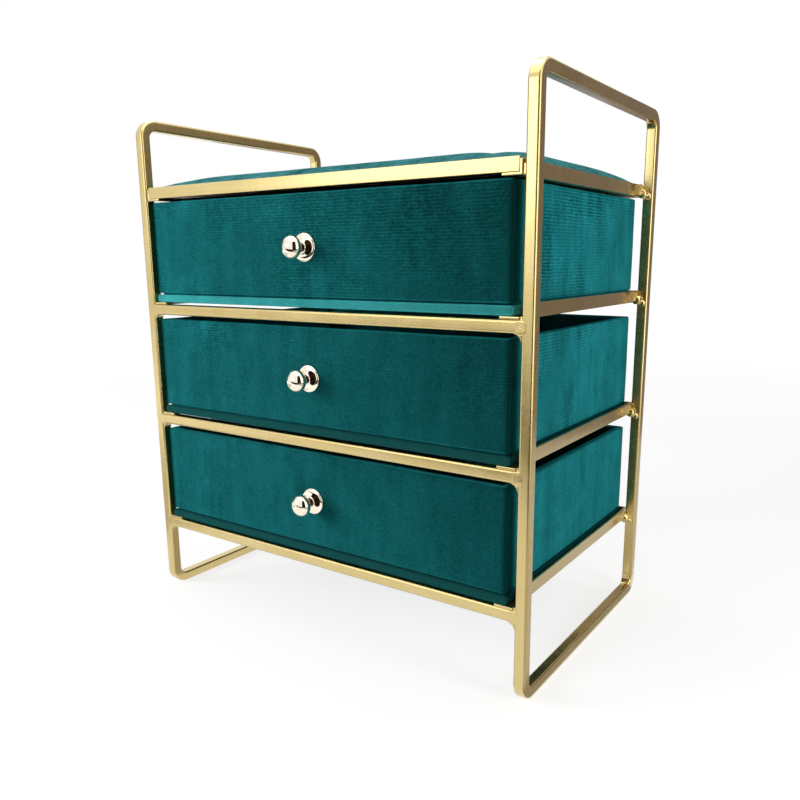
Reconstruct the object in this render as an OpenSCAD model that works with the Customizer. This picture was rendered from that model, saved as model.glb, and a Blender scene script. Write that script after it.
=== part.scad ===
// Jewellery box: a welded bar frame that carries three velvet drawers and a padded top.
// Millimetres, +Z up, +X to the right, and the drawers open towards -Y.
// The origin is on the floor, under the middle of the box that the whole object fills.

/* [Side loops] */
// Width over the two side loops
frame_w = 250; // [210:1:320]
// Depth of a side loop, front to back
frame_d = 154; // [120:1:220]
// Side of the square bar
bar = 6; // [5:0.5:8]
// Rounding along the bar's edges
bar_edge_r = 1.2; // [0.6:0.1:2]
// Inner radius of a loop's bends
bend_inner_r = 4; // [2:0.5:10]
// Height of a loop above the top tray
handle_rise = 37.5; // [25:0.5:70]

/* [Tiers] */
// Height of the lowest front bar's top face above the floor
first_bar_top = 46; // [30:0.5:80]
// Rise from one tier to the next
tier_pitch = 65.5; // [50:0.5:90]

/* [Angle strips] */
// Thickness of the angle strip
angle_t = 1.3; // [1:0.1:2]
// Height of a side angle's upright leg
angle_h = 6.5; // [5:0.1:9]
// Width of an angle's flat leg
angle_w = 9.5; // [7:0.5:15]
// Height of the strip that edges the top tray at the front and the rear
tray_strip_h = 6.2; // [5:0.1:9]
// Gap between a side angle and the loop beside it, which the welds bridge
angle_gap = 1; // [0.6:0.1:3]
// How far the side angles run on past the front face of the rear posts
angle_lap = 6; // [1:0.1:8]
// How far the upright leg of a runner is cut back behind the front of its flat leg
runner_cut_back = 6.5; // [4:0.5:15]

/* [Welds] */
// Leg of the fillet under each end of a front bar
fillet_leg = 3.4; // [2:0.1:5]
// Radius of the weld bead on each rear post
bead_r = 2.9; // [2:0.1:3.5]
// Height of a rear bead's middle above the foot of its angle
bead_rise = 1.4; // [0.5:0.1:3]
// Height of the weld between the tray's side angle and a front post
seam_h = 4.5; // [2:0.1:5]

/* [Drawers] */
// Gap between a drawer and the upright leg beside it
drawer_side_gap = 1.9; // [0.8:0.1:3]
// Gap between a shut drawer and the rear angle that stops it
drawer_back_gap = 0.5; // [0.3:0.1:2]
// Running gap under a drawer
drawer_run_gap = 0.2; // [0.1:0.1:0.6]
// Gap between a drawer and the bar above it
drawer_top_gap = 2.3; // [1.8:0.1:6]
// How far the base of a shut drawer stands in front of the posts
drawer_proud = 0.5; // [0:0.1:3]
// Thickness of a wall board
wall_board_t = 3.2; // [2:0.1:6]
// Thickness of a base board
base_board_t = 3; // [2:0.1:6]
// Thickness of the velvet skin
velvet_t = 0.6; // [0.4:0.1:1.2]
// How far the base stands out beyond the walls
base_lip = 0.6; // [0.2:0.1:1.5]
// Height of the shadow groove between the base and the walls
groove_h = 0.9; // [0.5:0.1:2]
// Rounding of a drawer's upright edges
drawer_edge_r = 1.6; // [1.4:0.1:3]
// Width of the velvet turned in over the base board
turn_in = 8; // [6:0.5:15]
// Thickness of the lining card
lining_t = 2; // [1:0.1:4]
// Gap round the lining card
lining_gap = 0.4; // [0.2:0.1:1]

/* [Knobs] */
// Diameter of a knob's head
head_dia = 11.4; // [9:0.1:14]
// Length of the head along its axis
head_l = 8.2; // [7:0.1:9]
// Radius of the head's rounded rim
head_rim_r = 3.2; // [2.5:0.1:3.4]
// Reach of the knob in front of the drawer's face
knob_reach = 13.4; // [12:0.1:20]
// Diameter of the neck
neck_dia = 5.8; // [5.4:0.1:7]
// Diameter of the flange
flange_dia = 14.2; // [12:0.1:18]
// Thickness of the flange's rim
flange_rim_t = 0.8; // [0.5:0.1:1.5]
// Rise of the flange's dome above its rim
flange_dome = 1.6; // [0.8:0.1:2.5]
// Height of a knob above the middle of its drawer
knob_lift = 1.7; // [-5:0.1:10]

/* [Knob screws] */
// Diameter of the screw's shank
screw_dia = 4; // [3:0.1:4.4]
// Depth of the shank in the knob
screw_grip = 6; // [4:0.1:7]
// Diameter of the screw's head
screw_head_dia = 8; // [6.5:0.1:10]
// Height of the screw's head
screw_head_h = 2.4; // [1.8:0.1:3.5]
// Gap round the shank in the knob
thread_gap = 0.05; // [0.03:0.01:0.1]
// Gap round the shank in the drawer's front
hole_gap = 0.3; // [0.1:0.05:0.6]

/* [Top panel] */
// Thickness of the top board
top_board_t = 2.5; // [1.5:0.1:3.5]
// Gap between the top panel and the uprights round it
top_gap = 0.4; // [0.2:0.1:1.2]
// Height of the pad's rim above the tray's strip
pad_rim = 0.8; // [0.2:0.1:2]
// Rise of the pad's crown above its rim
pad_crown = 7.2; // [3:0.1:12]
// How far the pad's sides draw in between its corners
pad_draw_in = 0.8; // [0:0.1:2]
// How far the pad's foot is tucked in under its rim
pad_tuck = 0.5; // [0.2:0.1:1]

/* [Hidden] */
$fn = 48;
// A cut runs this far past the face that it opens
past = 1;

TIERS = ["lower", "middle", "upper"];
SIDES = ["left", "right"];
TIER_PIECES = ["front_bar", "left_runner", "right_runner", "rear_angle"];
TRAY_PIECES = ["top_left_angle", "top_right_angle", "top_front_angle", "top_rear_angle"];
DRAWER_PIECES = ["drawer_front", "drawer_back", "drawer_left", "drawer_right", "drawer_base",
                 "drawer_wrap", "base_wrap", "drawer_lining", "knob", "knob_screw"];

gold = "#c8ad69";
polished_gold = "#ead9b0";
teal = "#126064";
card = "#a98a5d";
steel = "#9a9a9c";

// Front face of the posts, set so that knobs and rear posts lie evenly about the origin
front_y = (drawer_proud - base_lip + knob_reach - frame_d) / 2;
rear_y = front_y + frame_d;
tray_top = first_bar_top + len(TIERS) * tier_pitch;
frame_h = tray_top + handle_rise;
bend_r = bend_inner_r + bar / 2;

// Plan of the angles: outer face of the side angles and of the rear angles
post_in_x = frame_w / 2 - bar;
angle_x = post_in_x - angle_gap;
angle_y = rear_y - bar + angle_lap;
tray_strip_z = tray_top - tray_strip_h;
tray_side_z = tray_strip_z - angle_t;

// Plan and heights of a drawer
base_hw = angle_x - angle_t - drawer_side_gap;
base_front = front_y - drawer_proud;
base_back = angle_y - angle_t - drawer_back_gap;
wall_front = base_front + base_lip;
drawer_h = tier_pitch - bar - angle_t - drawer_run_gap - drawer_top_gap;
base_t = base_board_t + 2 * velvet_t;
wall_t = wall_board_t + 2 * velvet_t;
knob_z = drawer_h / 2 + knob_lift;

function bar_top(tier) = first_bar_top + tier * tier_pitch;
function drawer_z(tier) = bar_top(tier) + angle_t + drawer_run_gap;

// Two-dimensional shapes

// Square section of the bar, with rounded corners, centred
module bar_section() {
    flat = bar - 2 * bar_edge_r;
    square([bar, flat], center = true);
    square([flat, bar], center = true);
    for (x = [-1, 1], y = [-1, 1])
        translate([x, y] * flat / 2) circle(r = bar_edge_r);
}

// Plan of the drawer's base drawn in by an inset, with corners of the radius given
module drawer_plan(inset, r) {
    hw = base_hw - inset;
    y0 = base_front + inset;
    y1 = base_back - inset;
    translate([-hw, y0 + r]) square([2 * hw, y1 - y0 - 2 * r]);
    translate([-hw + r, y0]) square([2 * hw - 2 * r, y1 - y0]);
    for (x = [-hw + r, hw - r], y = [y0 + r, y1 - r])
        translate([x, y]) circle(r = r);
}

module drawer_space(inset) {
    hw = base_hw - inset;
    translate([-hw, base_front + inset])
        square([2 * hw, base_back - base_front - 2 * inset]);
}

// Side loops

// Closed loop of bar, drawn in the plane of its own X and Y, from corner to corner
module bar_loop(length, height) {
    run_l = length - 2 * bend_inner_r - 2 * bar;
    run_h = height - 2 * bend_inner_r - 2 * bar;
    for (y = [bar / 2, height - bar / 2])
        translate([(length - run_l) / 2, y, 0])
            rotate([0, 90, 0]) linear_extrude(run_l) bar_section();
    for (x = [bar / 2, length - bar / 2])
        translate([x, (height + run_h) / 2, 0])
            rotate([90, 0, 0]) linear_extrude(run_h) bar_section();
    for (turn = [0 : 3]) {
        x = turn == 0 || turn == 3 ? length - bar - bend_inner_r : bar + bend_inner_r;
        y = turn < 2 ? height - bar - bend_inner_r : bar + bend_inner_r;
        translate([x, y, 0]) rotate([0, 0, 90 * turn])
            rotate_extrude(angle = 90) translate([bend_r, 0]) bar_section();
    }
}

module side_loop(side) {
    color(gold)
        translate([side * (frame_w - bar) / 2, front_y, 0])
            rotate([90, 0, 90]) bar_loop(frame_d, frame_h);
}

// Tiers: a front bar, a runner at each side and a rear angle that stops the drawer

module front_bar(tier) {
    color(gold)
        translate([-post_in_x, front_y + bar / 2, bar_top(tier) - bar / 2])
            rotate([0, 90, 0]) linear_extrude(2 * post_in_x) bar_section();
}

// One leg of a runner in plan, cut square where it starts and mitred at the rear
module mitred_side_leg(width, start) {
    polygon([[angle_x, start], [angle_x, angle_y],
             [angle_x - width, angle_y - width], [angle_x - width, start]]);
}

module mitred_rear_leg(width) {
    polygon([[-angle_x, angle_y], [angle_x, angle_y],
             [angle_x - width, angle_y - width], [width - angle_x, angle_y - width]]);
}

module runner(side, tier) {
    color(gold)
        translate([0, 0, bar_top(tier)]) mirror([side < 0 ? 1 : 0, 0, 0]) {
            linear_extrude(angle_t) mitred_side_leg(angle_w, front_y);
            linear_extrude(angle_h) mitred_side_leg(angle_t, front_y + runner_cut_back);
        }
}

module rear_angle(tier) {
    color(gold)
        translate([0, 0, bar_top(tier)]) {
            linear_extrude(angle_t) mitred_rear_leg(angle_w);
            linear_extrude(angle_h) mitred_rear_leg(angle_t);
        }
}

// Top tray: the front and rear angles lie on the flat legs of the side angles

module tray_side_angle(side) {
    length = angle_y - front_y;
    color(gold)
        mirror([side < 0 ? 1 : 0, 0, 0]) translate([0, front_y, tray_side_z]) {
            translate([angle_x - angle_w, 0, 0]) cube([angle_w, length, angle_t]);
            translate([angle_x - angle_t, 0, 0]) cube([angle_t, length, angle_h]);
        }
}

// Angle across the tray, with its upright at y and its flat leg towards the middle
module tray_cross_angle(y, inward) {
    hw = angle_x - angle_t;
    color(gold)
        translate([-hw, y, tray_strip_z]) mirror([0, inward < 0 ? 1 : 0, 0]) {
            cube([2 * hw, angle_w, angle_t]);
            cube([2 * hw, angle_t, tray_strip_h]);
        }
}

// Welds

// Seam that joins a side angle to the inner face of a front post, from z up
module front_seam(side, z, height) {
    depth = bar - 2 * bar_edge_r;
    translate([side * (post_in_x - angle_gap / 2), front_y + bar / 2, z + height / 2])
        cube([angle_gap, depth, height], center = true);
}

// Fillet under the end of each front bar, and the seams beside the runners and the tray
module front_weld_pair(side) {
    depth = bar - 2 * bar_edge_r;
    for (tier = [0 : len(TIERS) - 1]) {
        translate([side * post_in_x, front_y + bar_edge_r + depth, bar_top(tier) - bar])
            rotate([90, 0, 0]) linear_extrude(depth) difference() {
                polygon([[0, 0], [-side * fillet_leg, 0], [0, -fillet_leg]]);
                translate([-side, -1] * fillet_leg) circle(r = fillet_leg * 0.9);
            }
        front_seam(side, bar_top(tier), angle_t);
    }
    front_seam(side, tray_side_z, seam_h);
}

module front_welds() {
    color(gold) for (side = [-1, 1]) front_weld_pair(side);
}

// Half outline of a drop of weld metal that lies on a flat face
module bead_outline() {
    intersection() {
        translate([0, bead_r / 2]) circle(r = bead_r);
        square([bead_r, 2 * bead_r]);
    }
}

// Bead that joins the rear end of a side angle to the front face of its post
module rear_bead() {
    post_y = rear_y - bar;
    difference() {
        translate([angle_x + bead_r * 0.55, post_y, bead_rise])
            rotate([90, 0, 0]) rotate_extrude() bead_outline();
        translate([angle_x - 4 * bead_r, post_y - 2 * bead_r, bead_rise - 2 * bead_r])
            cube(4 * bead_r);
    }
}

module rear_welds() {
    color(gold)
        for (side = [0, 1], z = concat([for (tier = [0 : len(TIERS) - 1]) bar_top(tier)], [tray_side_z]))
            mirror([side, 0, 0]) translate([0, 0, z]) rear_bead();
}

// Top panel: a board on the tray's flat legs, and a crowned pad glued to it

pad_hw = angle_x - angle_t - top_gap;
pad_y0 = front_y + angle_t + top_gap;
pad_y1 = angle_y - angle_t - top_gap;
top_board_z = tray_strip_z + angle_t;
pad_foot_z = top_board_z + top_board_t;
pad_rim_z = tray_top + pad_rim;

module top_board() {
    color(card)
        translate([-pad_hw, pad_y0, top_board_z]) cube([2 * pad_hw, pad_y1 - pad_y0, top_board_t]);
}

// The crown rolls off over about the same width on the long and the short sides
pad_power_u = 14;
pad_power_v = 4;
pad_cols = 24;
pad_rows = 16;

// Stations from -1 to 1 that lie closer together near the ends
function station(i, count) = -cos(180 * i / count);
function pad_y(v) = (pad_y0 + pad_y1) / 2 + v * (pad_y1 - pad_y0) / 2;
function pad_point(u, v, tuck, z) = [
    u * (pad_hw - tuck - pad_draw_in * (1 - v * v)),
    pad_y(v * (1 - (tuck + pad_draw_in * (1 - u * u)) * 2 / (pad_y1 - pad_y0))),
    z
];
function crown_z(u, v) = pad_rim_z
    + pad_crown * (1 - pow(abs(u), pad_power_u)) * (1 - pow(abs(v), pad_power_v));

// Stations round the pad's edge, anticlockwise from its front left corner
pad_edge = concat(
    [for (i = [0 : pad_cols - 1]) [i, 0]],
    [for (j = [0 : pad_rows - 1]) [pad_cols, j]],
    [for (i = [pad_cols : -1 : 1]) [i, pad_rows]],
    [for (j = [pad_rows : -1 : 1]) [0, j]]
);

module top_pad() {
    row = pad_cols + 1;
    top_count = row * (pad_rows + 1);
    edge_count = len(pad_edge);
    u = function(i) station(i, pad_cols);
    v = function(j) station(j, pad_rows);
    top = [for (j = [0 : pad_rows], i = [0 : pad_cols]) pad_point(u(i), v(j), 0, crown_z(u(i), v(j)))];
    foot = [for (e = pad_edge) pad_point(u(e[0]), v(e[1]), pad_tuck, pad_foot_z)];
    middle = [0, pad_y(0), pad_foot_z];
    at = function(e) e[1] * row + e[0];
    next = function(k) (k + 1) % edge_count;
    crown_faces = [for (j = [0 : pad_rows - 1], i = [0 : pad_cols - 1])
        let (a = j * row + i)
        each [[a, a + row, a + 1], [a + 1, a + row, a + row + 1]]];
    side_faces = [for (k = [0 : edge_count - 1])
        let (a = at(pad_edge[k]), b = at(pad_edge[next(k)]))
        each [[a, b, top_count + k], [b, top_count + next(k), top_count + k]]];
    foot_faces = [for (k = [0 : edge_count - 1])
        [top_count + k, top_count + next(k), top_count + edge_count]];
    color(teal)
        polyhedron(concat(top, foot, [middle]), concat(crown_faces, side_faces, foot_faces));
}

// Drawers: boards, the velvet over them, a lining card and a knob with its screw

module place_drawer(tier) {
    translate([0, 0, drawer_z(tier)]) children();
}

// Holes for the knob's screw, through the drawer's front wall
module screw_hole() {
    translate([0, wall_front - past, knob_z])
        rotate([-90, 0, 0]) cylinder(d = screw_dia + 2 * hole_gap, h = wall_t + 2 * past);
}

board_inset = base_lip + velvet_t;
board_corner_r = drawer_edge_r - velvet_t;
board_h = drawer_h - velvet_t - base_t;

// Board across the drawer, cut from the rounded plan of the walls
module cross_board(y) {
    color(card)
        translate([0, 0, base_t]) linear_extrude(board_h) intersection() {
            drawer_plan(board_inset, board_corner_r);
            translate([-base_hw, y]) square([2 * base_hw, wall_board_t]);
        }
}

module drawer_front(tier) {
    place_drawer(tier) color(card) difference() {
        cross_board(base_front + board_inset);
        screw_hole();
    }
}

module drawer_back(tier) {
    place_drawer(tier) cross_board(base_back - board_inset - wall_board_t);
}

module drawer_side(side, tier) {
    between = base_back - base_front - 2 * board_inset - 2 * wall_board_t;
    place_drawer(tier) color(card)
        mirror([side < 0 ? 1 : 0, 0, 0])
            translate([base_hw - board_inset - wall_board_t, base_front + board_inset + wall_board_t, base_t])
                cube([wall_board_t, between, board_h]);
}

module drawer_base(tier) {
    place_drawer(tier) color(card)
        translate([0, 0, velvet_t]) linear_extrude(base_board_t)
            drawer_plan(velvet_t, drawer_edge_r - velvet_t);
}

// Velvet over the walls, outside, over the rim and down the inside
module drawer_wrap(tier) {
    wrap_z = base_t + groove_h;
    place_drawer(tier) color(teal) difference() {
        translate([0, 0, wrap_z]) linear_extrude(drawer_h - wrap_z) difference() {
            drawer_plan(base_lip, drawer_edge_r);
            drawer_space(base_lip + wall_t);
        }
        translate([0, 0, wrap_z - past]) linear_extrude(base_t + board_h - wrap_z + past) difference() {
            drawer_plan(board_inset, board_corner_r);
            drawer_space(board_inset + wall_board_t);
        }
        screw_hole();
    }
}

// Velvet under the base board, round its edges and turned in on top
module base_wrap(tier) {
    place_drawer(tier) color(teal) difference() {
        linear_extrude(base_t) drawer_plan(0, drawer_edge_r);
        translate([0, 0, velvet_t]) linear_extrude(base_board_t)
            drawer_plan(velvet_t, drawer_edge_r - velvet_t);
        translate([0, 0, velvet_t]) linear_extrude(base_t) drawer_space(velvet_t + turn_in);
    }
}

module drawer_lining(tier) {
    place_drawer(tier) color(teal)
        translate([0, 0, base_t]) linear_extrude(lining_t)
            drawer_space(base_lip + wall_t + lining_gap);
}

// Half outline of the knob's head: a rounded rim between two shallow caps that meet it smoothly
module head_outline() {
    rim_x = head_dia / 2 - head_rim_r;
    half = head_l / 2;
    cap_off = (rim_x * rim_x - pow(half - head_rim_r, 2)) / (2 * (half - head_rim_r));
    cap_r = half + cap_off;
    meet_x = cap_r * rim_x / (cap_r - head_rim_r);
    translate([rim_x, 0]) intersection() {
        circle(r = head_rim_r);
        translate([-rim_x, -half]) square([head_dia, head_l]);
    }
    intersection() {
        translate([0, -cap_off]) circle(r = cap_r);
        translate([0, cap_off]) circle(r = cap_r);
        translate([0, -half]) square([meet_x, head_l]);
    }
}

// Half outline of the flange: a short rim under a shallow dome
module flange_outline() {
    r = flange_dia / 2;
    dome_r = (r * r + flange_dome * flange_dome) / (2 * flange_dome);
    square([r, flange_rim_t]);
    intersection() {
        translate([0, flange_rim_t + flange_dome - dome_r]) circle(r = dome_r);
        translate([0, flange_rim_t]) square([r, flange_dome]);
    }
}

// Knob along its own Z, with the flange's back at zero
module knob_solid() {
    head_z = knob_reach - head_l / 2;
    bore_l = screw_grip + past;
    difference() {
        union() {
            rotate_extrude() flange_outline();
            cylinder(d = neck_dia, h = head_z);
            translate([0, 0, head_z]) rotate_extrude() head_outline();
        }
        translate([0, 0, -past]) cylinder(d = screw_dia + 2 * thread_gap, h = bore_l + past);
    }
}

module knob(tier) {
    place_drawer(tier) color(polished_gold)
        translate([0, wall_front, knob_z]) rotate([90, 0, 0]) knob_solid();
}

// Pan-head screw from inside the drawer, through its wall and into the knob
module knob_screw(tier) {
    r = screw_head_dia / 2;
    dome_r = (r * r + screw_head_h * screw_head_h) / (2 * screw_head_h);
    place_drawer(tier) color(steel)
        translate([0, wall_front + wall_t, knob_z]) rotate([90, 0, 0]) {
            cylinder(d = screw_dia, h = wall_t + screw_grip);
            intersection() {
                translate([0, 0, dome_r - screw_head_h]) sphere(r = dome_r);
                translate([0, 0, -screw_head_h]) cylinder(d = screw_head_dia, h = screw_head_h);
            }
        }
}

side_loop(-1);  // left_loop
side_loop(1);  // right_loop
front_welds();
rear_welds();
tray_side_angle(-1);  // top_left_angle
tray_side_angle(1);  // top_right_angle
tray_cross_angle(front_y, 1);  // top_front_angle
tray_cross_angle(angle_y, -1);  // top_rear_angle
top_board();
top_pad();
for (tier = [0 : len(TIERS) - 1]) {
    name = TIERS[tier];
    front_bar(tier);
    runner(-1, tier);
    runner(1, tier);
    rear_angle(tier);
    drawer_front(tier);
    drawer_back(tier);
    drawer_side(-1, tier);
    drawer_side(1, tier);
    drawer_base(tier);
    drawer_wrap(tier);
    base_wrap(tier);
    drawer_lining(tier);
    knob(tier);
    knob_screw(tier);
}
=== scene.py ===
# %% [markdown]
# A jewellery box: a welded frame of square gold bar that carries three velvet drawers under a padded top.
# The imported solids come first. They fix every size, so each cell below asks them where a piece sits,
# models that piece again with softer edges and better surfaces, and lets it ride on the same body.

# %% Load the frame of solids
import math

import bmesh
import bpy
from mathutils import Matrix, Vector


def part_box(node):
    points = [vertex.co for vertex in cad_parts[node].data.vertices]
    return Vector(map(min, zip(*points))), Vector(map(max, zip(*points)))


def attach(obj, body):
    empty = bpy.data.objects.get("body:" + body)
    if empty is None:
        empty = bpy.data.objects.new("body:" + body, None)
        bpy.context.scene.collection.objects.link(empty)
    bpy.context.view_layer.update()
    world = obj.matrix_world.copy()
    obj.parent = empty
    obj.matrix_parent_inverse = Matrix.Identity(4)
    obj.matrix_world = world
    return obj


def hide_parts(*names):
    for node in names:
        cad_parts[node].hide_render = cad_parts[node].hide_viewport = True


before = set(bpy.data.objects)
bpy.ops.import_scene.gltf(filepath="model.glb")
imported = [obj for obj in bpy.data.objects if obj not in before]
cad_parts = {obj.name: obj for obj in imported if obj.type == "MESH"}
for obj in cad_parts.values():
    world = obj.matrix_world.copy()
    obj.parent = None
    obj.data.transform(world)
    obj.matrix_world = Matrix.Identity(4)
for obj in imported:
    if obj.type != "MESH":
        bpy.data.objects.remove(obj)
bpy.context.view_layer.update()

MM = 0.001
TIERS = ("lower", "middle", "upper")

# %% [markdown]
# Modelling by hand means selecting something and then using a tool on it. The tools act on all that is
# selected, so these small helpers pick one object, or the faces and edges of it that pass a test of
# their place. Every modelling cell uses them.

# %% Helpers for selecting
def pick_object(obj):
    if bpy.context.object and bpy.context.object.mode != "OBJECT":
        bpy.ops.object.mode_set(mode="OBJECT")
    bpy.ops.object.select_all(action="DESELECT")
    obj.select_set(True)
    bpy.context.view_layer.objects.active = obj


def start_edit(obj, mode="FACE"):
    pick_object(obj)
    bpy.ops.object.mode_set(mode="EDIT")
    bpy.ops.mesh.select_mode(type=mode)


def end_edit():
    bpy.ops.object.mode_set(mode="OBJECT")


def pick(obj, kind, test):
    """Select the faces or edges that pass a test: of centre and normal, or of the two ends."""
    bpy.ops.mesh.select_mode(type=kind)
    bpy.ops.mesh.select_all(action="DESELECT")
    mesh = bmesh.from_edit_mesh(obj.data)
    if kind == "FACE":
        found = [f for f in mesh.faces if test(f.calc_center_median(), f.normal)]
    else:
        found = [e for e in mesh.edges if test(e.verts[0].co, e.verts[1].co)]
    for item in found:
        item.select_set(True)
    bmesh.update_edit_mesh(obj.data)


print("selecting: one object, or its faces and edges by place")

# %% [markdown]
# The rest of a modeller's routine repeats too: drag what is selected, apply a modifier, smooth the
# shading, give the piece its finish, let it ride on its body, and copy it. Each is a line or two of
# Blender's own tools, so that the cells below read like the steps of the work.

# %% Helpers for shaping, finishing and copying
def move(value):
    bpy.ops.transform.translate(value=value)


def extrude(value):
    bpy.ops.mesh.extrude_region_move(TRANSFORM_OT_translate={"value": value})


def add_modifier(obj, kind, **settings):
    pick_object(obj)
    made = obj.modifiers.new(kind.lower(), kind)
    for key, value in settings.items():
        setattr(made, key, value)
    bpy.ops.object.modifier_apply(modifier=made.name)


def smooth(obj, angle=40, weighted=True):
    pick_object(obj)
    bpy.ops.object.shade_smooth_by_angle(angle=math.radians(angle))
    if weighted:
        add_modifier(obj, "WEIGHTED_NORMAL", keep_sharp=True)


def settle(obj, body, slot_name, *nodes):
    """Let a finished piece ride on its body and stand for its solids."""
    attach(obj, body)
    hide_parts(*nodes)


def paint_on(obj, finish):
    obj.data.materials.clear()
    obj.data.materials.append(finish)


def copy_piece(obj, name, shift=(0, 0, 0)):
    """A copy with a mesh of its own, moved along by shift."""
    pick_object(obj)
    bpy.ops.object.duplicate()
    made = bpy.context.object
    made.name = made.data.name = name
    move(shift)
    bpy.ops.object.transform_apply(location=True, rotation=True, scale=True)
    return made


print("helpers for selecting, shaping and copying are ready")

# %% [markdown]
# The camera stands where the photograph was taken: a little to the right, a little above the drawers,
# close to the box. Its place, turn and lens were fitted to the bars' edges, whose real directions are
# known, so that the frame's corners fall on the same spots of an 800 by 800 picture. The lens's axis
# meets that picture a little off its middle, which is a small shift of the lens.

# %% Camera
CAMERA_PLACE = Vector((0.26092, -0.36026, 0.20244))
CAMERA_TURN = math.radians(34.381)
CAMERA_TILT = math.radians(-12.123)
CAMERA_ROLL = math.radians(-0.372)
FOCAL_PIXELS = 763.6
AXIS_PIXEL = (409.9, 422.3)
PICTURE = 800
SENSOR = 36.0
NEAREST = 10.0 * MM

bpy.ops.object.select_all(action="DESELECT")
bpy.ops.object.camera_add(location=CAMERA_PLACE)
camera = bpy.context.object
camera.name = "photo_camera"
camera.matrix_world = (
    Matrix.Translation(CAMERA_PLACE)
    @ Matrix.Rotation(CAMERA_TURN, 4, "Z")
    @ Matrix.Rotation(math.radians(90) + CAMERA_TILT, 4, "X")
    @ Matrix.Rotation(CAMERA_ROLL, 4, "Z")
)
camera.data.sensor_width = SENSOR
camera.data.lens = FOCAL_PIXELS / PICTURE * SENSOR
camera.data.shift_x = (PICTURE / 2 - AXIS_PIXEL[0]) / PICTURE
camera.data.shift_y = (AXIS_PIXEL[1] - PICTURE / 2) / PICTURE
camera.data.clip_start = NEAREST
bpy.context.scene.camera = camera
print("lens:", round(camera.data.lens, 2), "mm")

# %% [markdown]
# Shader maths reads best as plain sums. A Value wraps a socket, and adding or multiplying Values adds
# the Math nodes. A Finish is one material, or the world's light, and its node method makes every other
# kind of node: it sets the node's own settings first, then the values or links of its sockets.

# %% Shader maths
class Value:
    """A number that changes over a surface: one output socket of a finish."""

    def __init__(self, finish, socket):
        self.finish, self.socket = finish, socket

    def _math(self, operation, first, second):
        return self.finish.node("ShaderNodeMath", {"operation": operation}, {0: first, 1: second})

    def __add__(self, other):
        return self._math("ADD", self, other)

    def __radd__(self, other):
        return self._math("ADD", other, self)

    def __sub__(self, other):
        return self._math("SUBTRACT", self, other)

    def __rsub__(self, other):
        return self._math("SUBTRACT", other, self)

    def __mul__(self, other):
        return self._math("MULTIPLY", self, other)

    def __rmul__(self, other):
        return self._math("MULTIPLY", other, self)

    def __pow__(self, other):
        return self._math("POWER", self, other)


class Finish:
    """A material made of nodes, or the world's light."""

    def __init__(self, name, world=False):
        self.material = bpy.data.worlds.new(name) if world else bpy.data.materials.new(name)
        self.material.use_nodes = True
        self.tree = self.material.node_tree
        self.tree.nodes.clear()
        self.output = self.tree.nodes.new("ShaderNodeOutputWorld" if world else "ShaderNodeOutputMaterial")
        self.place = None if world else self.node("ShaderNodeTexCoord", output="Object")

    def node(self, kind, settings=None, inputs=None, output=0):
        made = self.tree.nodes.new(kind)
        for key, value in (settings or {}).items():
            setattr(made, key, value)
        for key, value in (inputs or {}).items():
            if isinstance(value, Value):
                self.tree.links.new(value.socket, made.inputs[key])
            elif isinstance(value, tuple) and made.inputs[key].type == "RGBA":
                made.inputs[key].default_value = (*value, 1)
            else:
                made.inputs[key].default_value = value
        return Value(self, made.outputs[output])

    def stretch(self, x, y, z):
        """The place on the piece, stretched so that a pattern's size differs along each axis."""
        return self.node("ShaderNodeMapping", None, {"Vector": self.place, "Scale": (x, y, z)})

    def noise(self, scale, detail=3.0, roughness=0.5, at=None, distortion=0.0):
        inputs = {"Vector": at or self.place, "Scale": scale, "Detail": detail}
        inputs.update({"Roughness": roughness, "Distortion": distortion})
        return self.node("ShaderNodeTexNoise", None, inputs)

    def remap(self, value, low, high, new_low=0.0, new_high=1.0):
        inputs = {"Value": value, "From Min": low, "From Max": high, "To Min": new_low, "To Max": new_high}
        return self.node("ShaderNodeMapRange", {"clamp": True}, inputs)

    def mix(self, share, first, second):
        settings = {"data_type": "RGBA", "blend_type": "MIX", "clamp_factor": True}
        return self.node("ShaderNodeMix", settings, {0: share, 6: first, 7: second}, output=2)

    def bump(self, height, distance, strength):
        inputs = {"Height": height, "Distance": distance, "Strength": strength}
        return self.node("ShaderNodeBump", None, inputs)

    def show(self, shader):
        """Let a shader be what is seen, and give back the whole material."""
        self.tree.links.new(shader.socket, self.output.inputs["Surface"])
        return self.material

    def surface(self, **inputs):
        """The usual surface shader. Its inputs are named as in Blender, in small letters."""
        named = {key.replace("_", " ").title().replace("Ior", "IOR"): value for key, value in inputs.items()}
        return self.show(self.node("ShaderNodeBsdfPrincipled", None, named))


print("shader helpers ready")

# %% [markdown]
# The stage is a pale floor under a plain white sky. A plane would do for the floor, but lit alone it
# would come out grey. So, seen by the camera and in the metal, it is partly glowing white, as in the
# photograph, and partly lit, so that the box keeps a soft shadow. The glow grows with the distance.

# %% Floor
FLOOR_HALF = 6.0
FLOOR_COLOUR = (0.9, 0.9, 0.9)
FLOOR_GLOW = 1.25
NEAR_FLOOR, FAR_FLOOR = 0.5, 1.6
NEAR_GLOW_SHARE, FAR_GLOW_SHARE = 0.62, 0.78
WHITE = (1.0, 1.0, 1.0)


def seen_directly(finish):
    """1 for rays of the camera, of mirror-like surfaces and through glass, 0 for the light's own rays."""
    kinds = ("Camera", "Glossy", "Transmission")
    rays = [finish.node("ShaderNodeLightPath", output=f"Is {kind} Ray") for kind in kinds]
    return rays[0] + rays[1] + rays[2]


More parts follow.
